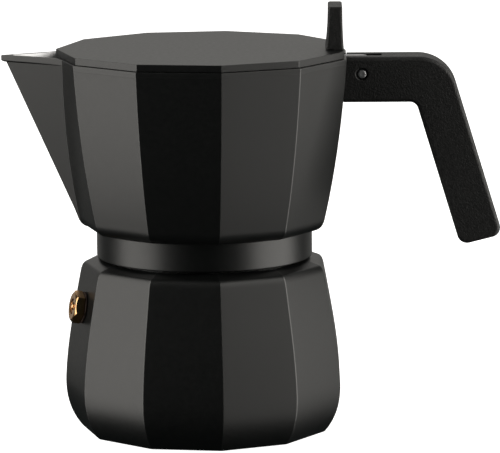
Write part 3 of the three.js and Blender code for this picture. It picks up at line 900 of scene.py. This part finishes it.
def coffee_column():
    """The riser column, with a closed top and two outlets under it."""
    profile = [(3, 75.4), (4.5, 75.4), (4.5, 78.6), (7.3, 78.6), (7.5, 78.8), (7.5, 79.4), (7.3, 79.6)]
    profile += quad_curve((7.3, 79.6), (5.8, 81), (5.6, 86), 8)
    profile += line((5.6, 86), (4.9, 115), 6)
    profile += quad_curve((4.9, 115), (4.7, 118), (0.4, 118.4), 8)
    profile += [(0.4, 116.4), (2.6, 116.2), (3, 115.6), (3, 95)]
    piece = turned("coffee_riser", profile, 64)
    cap = turned("cap", [(0, 117.0), (0.45, 117.0), (0.45, 118.38), (0, 118.42)], 64)
    joined(piece, cap)
    outlets = block("outlets", (-9, -1.9, 107), (9, 1.9, 112.5), 0.5)
    return dress(cut(piece, outlets), "chamber_set", "bare_aluminium", BARE, nodes=["coffee_column"])


# ---- Handle ----
def arm_inner(z):
    """X of the arm's inner edge at a height."""
    return ARM_INNER[0] + ARM_LEAN * (ARM_INNER[1] - z)


def arm_outer(z):
    """X of the arm's outer edge at a height."""
    return ARM_OUTER[0] + ARM_LEAN * (ARM_OUTER[1] - z)


def handle_outline():
    """The handle from the side: a level bar and a leaning arm."""
    corners = [Vector(p) for p in [
        (HANDLE_END - 5, HANDLE_TOP), (HANDLE_END - 5, HANDLE_UNDER),
        (arm_inner(HANDLE_UNDER), HANDLE_UNDER), (arm_inner(ARM_FOOT - 0.4), ARM_FOOT - 0.4),
        (arm_outer(ARM_FOOT + 3.3), ARM_FOOT + 3.3), (arm_outer(HANDLE_TOP), HANDLE_TOP)]]
    return rounded(corners, [0.3, 0.3, 3.0, 3.5, 3.5, 14.0], between=0, steps=14)


def handle_end():
    """What is cut off so that the handle's end follows the slanted facet behind it."""
    lean = (RIM_RADIUS - 51.05) * FACE / (HANDLE_TOP - HANDLE_UNDER)
    top, low = HANDLE_TOP + 5, HANDLE_UNDER - 5
    return slab("end", [(30, low), (HANDLE_END - lean * (HANDLE_TOP - low), low),
                        (HANDLE_END + lean * (top - HANDLE_TOP), top), (30, top)], HANDLE_SIDE + 2)


def flared_hole(name, radius, depth_from, depth_to, flare):
    """A cylinder that opens out by flare at both ends, which leaves an eased rim where it cuts."""
    out = flare * 0.3
    down = flare * 0.6
    return turned(name, [(0, depth_from), (radius + flare, depth_from), (radius + out, depth_from + down),
                         (radius, depth_from + flare), (radius, depth_to - flare),
                         (radius + out, depth_to - down), (radius + flare, depth_to), (0, depth_to)], 48)


def handle():
    """The grip, with a pocket for the lug, a slot for the bracket, the pin's bore and the screw's hole."""
    piece = slab("handle_grip", [tuple(p) for p in handle_outline()], HANDLE_SIDE, edge=1.5, steps=5)
    pocket = block("pocket", (46, -4.3, 119.6), (BOSS_X + 4.4, 4.3, 129.4), 0.3)
    slot = block("slot", (46, -2.6, 129), (62.7, 2.6, HANDLE_TOP + 1), 0.25)
    bore = across(rod("bore", PIN_BORE, -HANDLE_SIDE - 1, HANDLE_SIDE + 1), PIN_X, PIN_Z)
    recess = 0.8
    front = across(flared_hole("front", 2.1, HANDLE_SIDE - recess, HANDLE_SIDE, 0.3), PIN_X, PIN_Z)
    back = across(flared_hole("back", 2.1, -HANDLE_SIDE, recess - HANDLE_SIDE, 0.3), PIN_X, PIN_Z)
    screw = turned("screw", [(0, HANDLE_UNDER - 0.01), (4.1, HANDLE_UNDER - 0.01), (2.3, HANDLE_UNDER + 1.8),
                             (2.3, 121), (0, 121)], 48)
    cut(piece, handle_end(), pocket, slot, bore, front, back, moved(screw, BOSS_X))
    return dress(piece, "chamber_set", "black_plastic", PLASTIC, nodes=["handle"])


def countersunk(name, head, head_height, shank, low, high, socket):
    """A screw standing along Z, its flat head down, with a hexagonal socket in it."""
    piece = turned(name, [(0, low), (head - 0.15, low), (head, low + 0.12), (shank, low + head_height),
                          (shank, high - 0.4), (shank - 0.4, high), (0, high)], 48)
    key = turned("key", [(0, low - 1), (socket, low - 1), (socket, low + head_height * 0.7),
                         (0, low + head_height * 0.9)], 6)
    return cut(piece, key)


def handle_screw():
    """The screw from below that holds the handle on the lug."""
    piece = countersunk("handle_bolt", 3.7, 1.7, 2, HANDLE_UNDER + 0.2, 127.2, 1.5)
    return dress(moved(piece, BOSS_X), "chamber_set", "steel", STEEL, nodes=["handle_screw"])


def hinge_pin():
    """The pin, with a rounded rim and a shallow dish in each end."""
    half = HANDLE_SIDE - 0.25
    end = [(0.0, half - 0.12), (0.5, half - 0.03), (0.62, half), (1.08, half), (1.18, half - 0.02),
           (PIN_RADIUS - 0.06, half - 0.16), (PIN_RADIUS, half - 0.3)]
    profile = [(r, -z) for r, z in end] + [(r, z) for r, z in reversed(end)]
    return dress(across(turned("pin", profile, 48), PIN_X, PIN_Z), "chamber_set", "dark_steel", DARK_STEEL,
                 nodes=["hinge_pin"])


# ---- Lid ----
def lid():
    """The faceted plate, with a low stiffening ring underneath."""
    edge = 0.8
    bevel = 0.2
    ring_z = LID_BOTTOM - 1.6
    top = [(LID_RADIUS - 0.1, LID_BOTTOM), (LID_RADIUS - 0.03, LID_BOTTOM + 0.03),
           (LID_RADIUS, LID_BOTTOM + 0.1), (LID_RADIUS, LID_TOP - bevel),
           (LID_RADIUS - 0.06, LID_TOP - 0.06), (LID_RADIUS - bevel, LID_TOP),
           (LID_RADIUS - 2.5, LID_TOP), (LID_RADIUS * 0.5, LID_TOP)]
    ring = [(20, LID_BOTTOM), (41.7, LID_BOTTOM), (42, LID_BOTTOM - 0.3), (42, ring_z + 0.2), (42.2, ring_z),
            (43.3, ring_z), (43.5, ring_z + 0.2), (43.5, LID_BOTTOM - 0.3), (43.8, LID_BOTTOM)]
    pattern = facets(LID_RADIUS, edge)
    rows = [raised(circle_like(pattern, r), z) for r, z in ring]
    rows += [raised(facets(r, edge), z) for r, z in top]
    piece = loft("lid_plate", rows)
    holes = [moved(rod("hole", 1.4, LID_BOTTOM - 1, LID_TOP + 1), KNOB_SCREW_X, y)
             for y in (-KNOB_SCREW_Y, KNOB_SCREW_Y)]
    cut(piece, block("foot_gap", (36, -9.2, LID_BOTTOM - 2), (50, 9.2, LID_BOTTOM - 0.001)), *holes)
    return dress(piece, "lid_set", "black_coat", COAT, nodes=["lid"])


def arc(x, z, radius, start, end, steps):
    """Points of an arc in degrees."""
    angles = [math.radians(start + (end - start) * i / steps) for i in range(steps + 1)]
    return [(x + radius * math.cos(a), z + radius * math.sin(a)) for a in angles]


def lid_bracket():
    """The hinge tongue and its foot under the lid, in one piece."""
    foot_low = LID_BOTTOM - 1.3
    foot_high = LID_BOTTOM - 0.1
    eye = 3.0  # radius of the tongue's rounded end under the pin
    heel = 60  # bearing round the pin at which the tongue's upper arc starts, in degrees
    front = 44
    rear = 50.6
    outline = [(front, PIN_Z + KNUCKLE), (front, foot_low - 0.6), (rear, foot_low - 0.6), (rear, 129.5)]
    outline += arc(PIN_X, PIN_Z, eye, 180, 360, 20)
    outline += arc(PIN_X, PIN_Z, KNUCKLE, heel, 90, 8)
    piece = slab("hinge_tongue", outline, 2.3, edge=0.3)
    foot = block("foot", (38.5, -8.5, foot_low), (47.9, 8.5, foot_high), 0.25)
    joined(piece, foot)
    hole = [(0, foot_low - 0.1), (2.1, foot_low - 0.1), (2.1, foot_low), (1.4, foot_low + 0.75),
            (1.4, LID_TOP), (0, LID_TOP)]
    holes = [moved(turned("hole", hole, 40), KNOB_SCREW_X, y) for y in (-KNOB_SCREW_Y, KNOB_SCREW_Y)]
    cut(piece, across(rod("bore", PIN_BORE, -4, 4), PIN_X, PIN_Z), *holes)
    return dress(piece, "lid_set", "bare_aluminium", BARE, nodes=["lid_bracket"])


def knob():
    """An upright slab whose faces flare out at the foot."""
    low = LID_TOP + 0.1
    foot_front = 43.0
    foot_rear = 49.4
    top_front = 43.9
    top_rear = 48.9
    half = 9.5
    edge = 0.8
    straight = KNOB_TOP - 0.7
    front = quad_curve((foot_front, low), (top_front, low + 6), (top_front, straight), 14)
    rear = quad_curve((foot_rear, low), (top_rear, low + 5), (top_rear, straight), 14)

    def row(x0, x1, z, inset):
        corners = [Vector(p) for p in [(x0 + inset, inset - half), (x1 - inset, inset - half),
                                       (x1 - inset, half - inset), (x0 + inset, half - inset)]]
        return raised(rounded(corners, [max(edge - inset * 0.5, 0.2)] * 4, steps=4), z)

    rows = [row(foot_front, foot_rear, low, 0.15), row(foot_front, foot_rear, low + 0.12, 0.0)]
    rows += [row(x0, x1, z, 0.0) for (x0, z), (x1, _) in zip(front, rear)]
    rounding = [(0.33, 0.06), (0.1, 0.22), (0, 0.55)]  # of the top edge: (drop, inset)
    rows += [row(top_front, top_rear, KNOB_TOP - drop, inset) for drop, inset in rounding]
    piece = loft("lid_knob", rows)
    holes = [moved(rod("hole", 1.4, low - 1, 142), KNOB_SCREW_X, y) for y in (-KNOB_SCREW_Y, KNOB_SCREW_Y)]
    return dress(cut(piece, *holes), "lid_set", "black_plastic", PLASTIC, nodes=["knob"])


def knob_screw(node, name, y):
    """One of the two screws through bracket and lid into the knob."""
    piece = countersunk(name, 1.8, 0.6, 1.15, LID_BOTTOM - 1.3, 141.4, 0.8)
    return dress(moved(piece, KNOB_SCREW_X, y), "lid_set", "steel", STEEL, nodes=[node])


# ---- Studio ----
def camera():
    """A long lens a little above the pot; orbit is the camera's bearing off the pot's own front."""
    orbit = math.radians(1.0)
    yaw = math.radians(0.284) - orbit
    pitch = math.radians(9.405)
    roll = math.radians(-0.433)
    stand = Vector((0.009116, -1.41028, 0.30505))
    right = Vector((math.cos(yaw), -math.sin(yaw), 0))
    ahead = Vector((math.sin(yaw) * math.cos(pitch), math.cos(yaw) * math.cos(pitch), -math.sin(pitch)))
    up = right.cross(ahead)
    rolled_right = right * math.cos(roll) + up * math.sin(roll)
    rolled_up = up * math.cos(roll) - right * math.sin(roll)
    data = bpy.data.cameras.new("camera")
    data.sensor_width = 36
    data.lens = 291.55
    data.clip_end = 50
    made = new_object("camera", data)
    place = Matrix.Rotation(orbit, 3, "Z") @ stand
    turn = Matrix((rolled_right, rolled_up, -ahead)).transposed().to_4x4()
    made.matrix_world = Matrix.Translation(place) @ turn
    bpy.context.scene.camera = made


def softbox(name, at, width, height, power, tint=(1, 1, 1)):
    """A large soft light that faces the middle of the pot; it isn't seen itself."""
    aim = Vector((0, 0, 0.075))
    data = bpy.data.lights.new(name, "AREA")
    data.shape = "RECTANGLE"
    data.size = width
    data.size_y = height
    data.energy = power
    data.color = tint
    light = new_object(name, data)
    light.visible_camera = False
    light.location = at
    light.rotation_mode = "QUATERNION"
    light.rotation_quaternion = (aim - Vector(at)).to_track_quat("-Z", "Y")


def floor():
    """A plain pale floor that neither lights nor shades the pot."""
    side = 6.0
    corners = [(-side, -side, 0), (side, -side, 0), (side, side, 0), (-side, side, 0)]
    mesh = bpy.data.meshes.new("floor")
    mesh.from_pydata(corners, [], [(0, 1, 2, 3)])
    made = new_object("floor", mesh)
    paint = Paint("floor_paint", specular=0.1)
    paint.set(paint.shader, "Base Color", (0.9, 0.9, 0.9, 1))
    paint.set(paint.shader, "Roughness", 0.9)
    paint.set(paint.shader, "Emission Color", (1, 1, 1, 1))
    paint.set(paint.shader, "Emission Strength", 0.95)
    mesh.materials.append(paint.material)
    made.visible_glossy = False
    made.visible_diffuse = False
    made.visible_shadow = False


def world():
    """White behind the object, dim for the light that it casts."""
    made = bpy.data.worlds.new("studio")
    bpy.context.scene.world = made
    made.use_nodes = True
    tree = made.node_tree
    tree.nodes.clear()
    path = tree.nodes.new("ShaderNodeLightPath")
    seen = tree.nodes.new("ShaderNodeBackground")
    seen.inputs["Color"].default_value = (1, 1, 1, 1)
    cast = tree.nodes.new("ShaderNodeBackground")
    cast.inputs["Color"].default_value = (0.01, 0.013, 0.013, 1)
    mix = tree.nodes.new("ShaderNodeMixShader")
    out = tree.nodes.new("ShaderNodeOutputWorld")
    tree.links.new(path.outputs["Is Camera Ray"], mix.inputs["Fac"])
    tree.links.new(cast.outputs[0], mix.inputs[1])
    tree.links.new(seen.outputs[0], mix.inputs[2])
    tree.links.new(mix.outputs[0], out.inputs["Surface"])


def around(azimuth, distance, height):
    """A place at a bearing round the pot, 180 degrees being the spout's side and 270 the camera's."""
    a = math.radians(azimuth)
    return (distance * math.cos(a), distance * math.sin(a), height)


def studio():
    """The lights."""
    warm = (1, 0.975, 0.925)
    softbox("left", around(196, 1.3, 0.4), 1.27, 2.3, 27.5, warm)
    softbox("right", around(351, 1.3, 0.25), 1.4, 2.3, 32, warm)
    softbox("back", around(90, 1.5, 0.38), 3.2, 1.46, 4.4, warm)
    softbox("back_high", around(90, 1.45, 0.75), 1.6, 0.8, 1.2, warm)
    softbox("top", (0, 0.7, 1.3), 1.6, 1.3, 2.6)


bpy.context.scene.view_settings.view_transform = "Standard"
camera()
world()
floor()
studio()

boiler()
neck_thread()
funnel_basket()
funnel_tube()
funnel_plate()
valve_body()
valve_washer()
valve_retainer()
valve_plunger()
valve_spring()
gasket()
filter_plate()
upper_chamber()
collar_thread()
lug()
coffee_column()
handle()
handle_screw()
hinge_pin()
lid()
lid_bracket()
knob()
knob_screw("knob_screw_left", "knob_bolt_left", -KNOB_SCREW_Y)
knob_screw("knob_screw_right", "knob_bolt_right", KNOB_SCREW_Y)
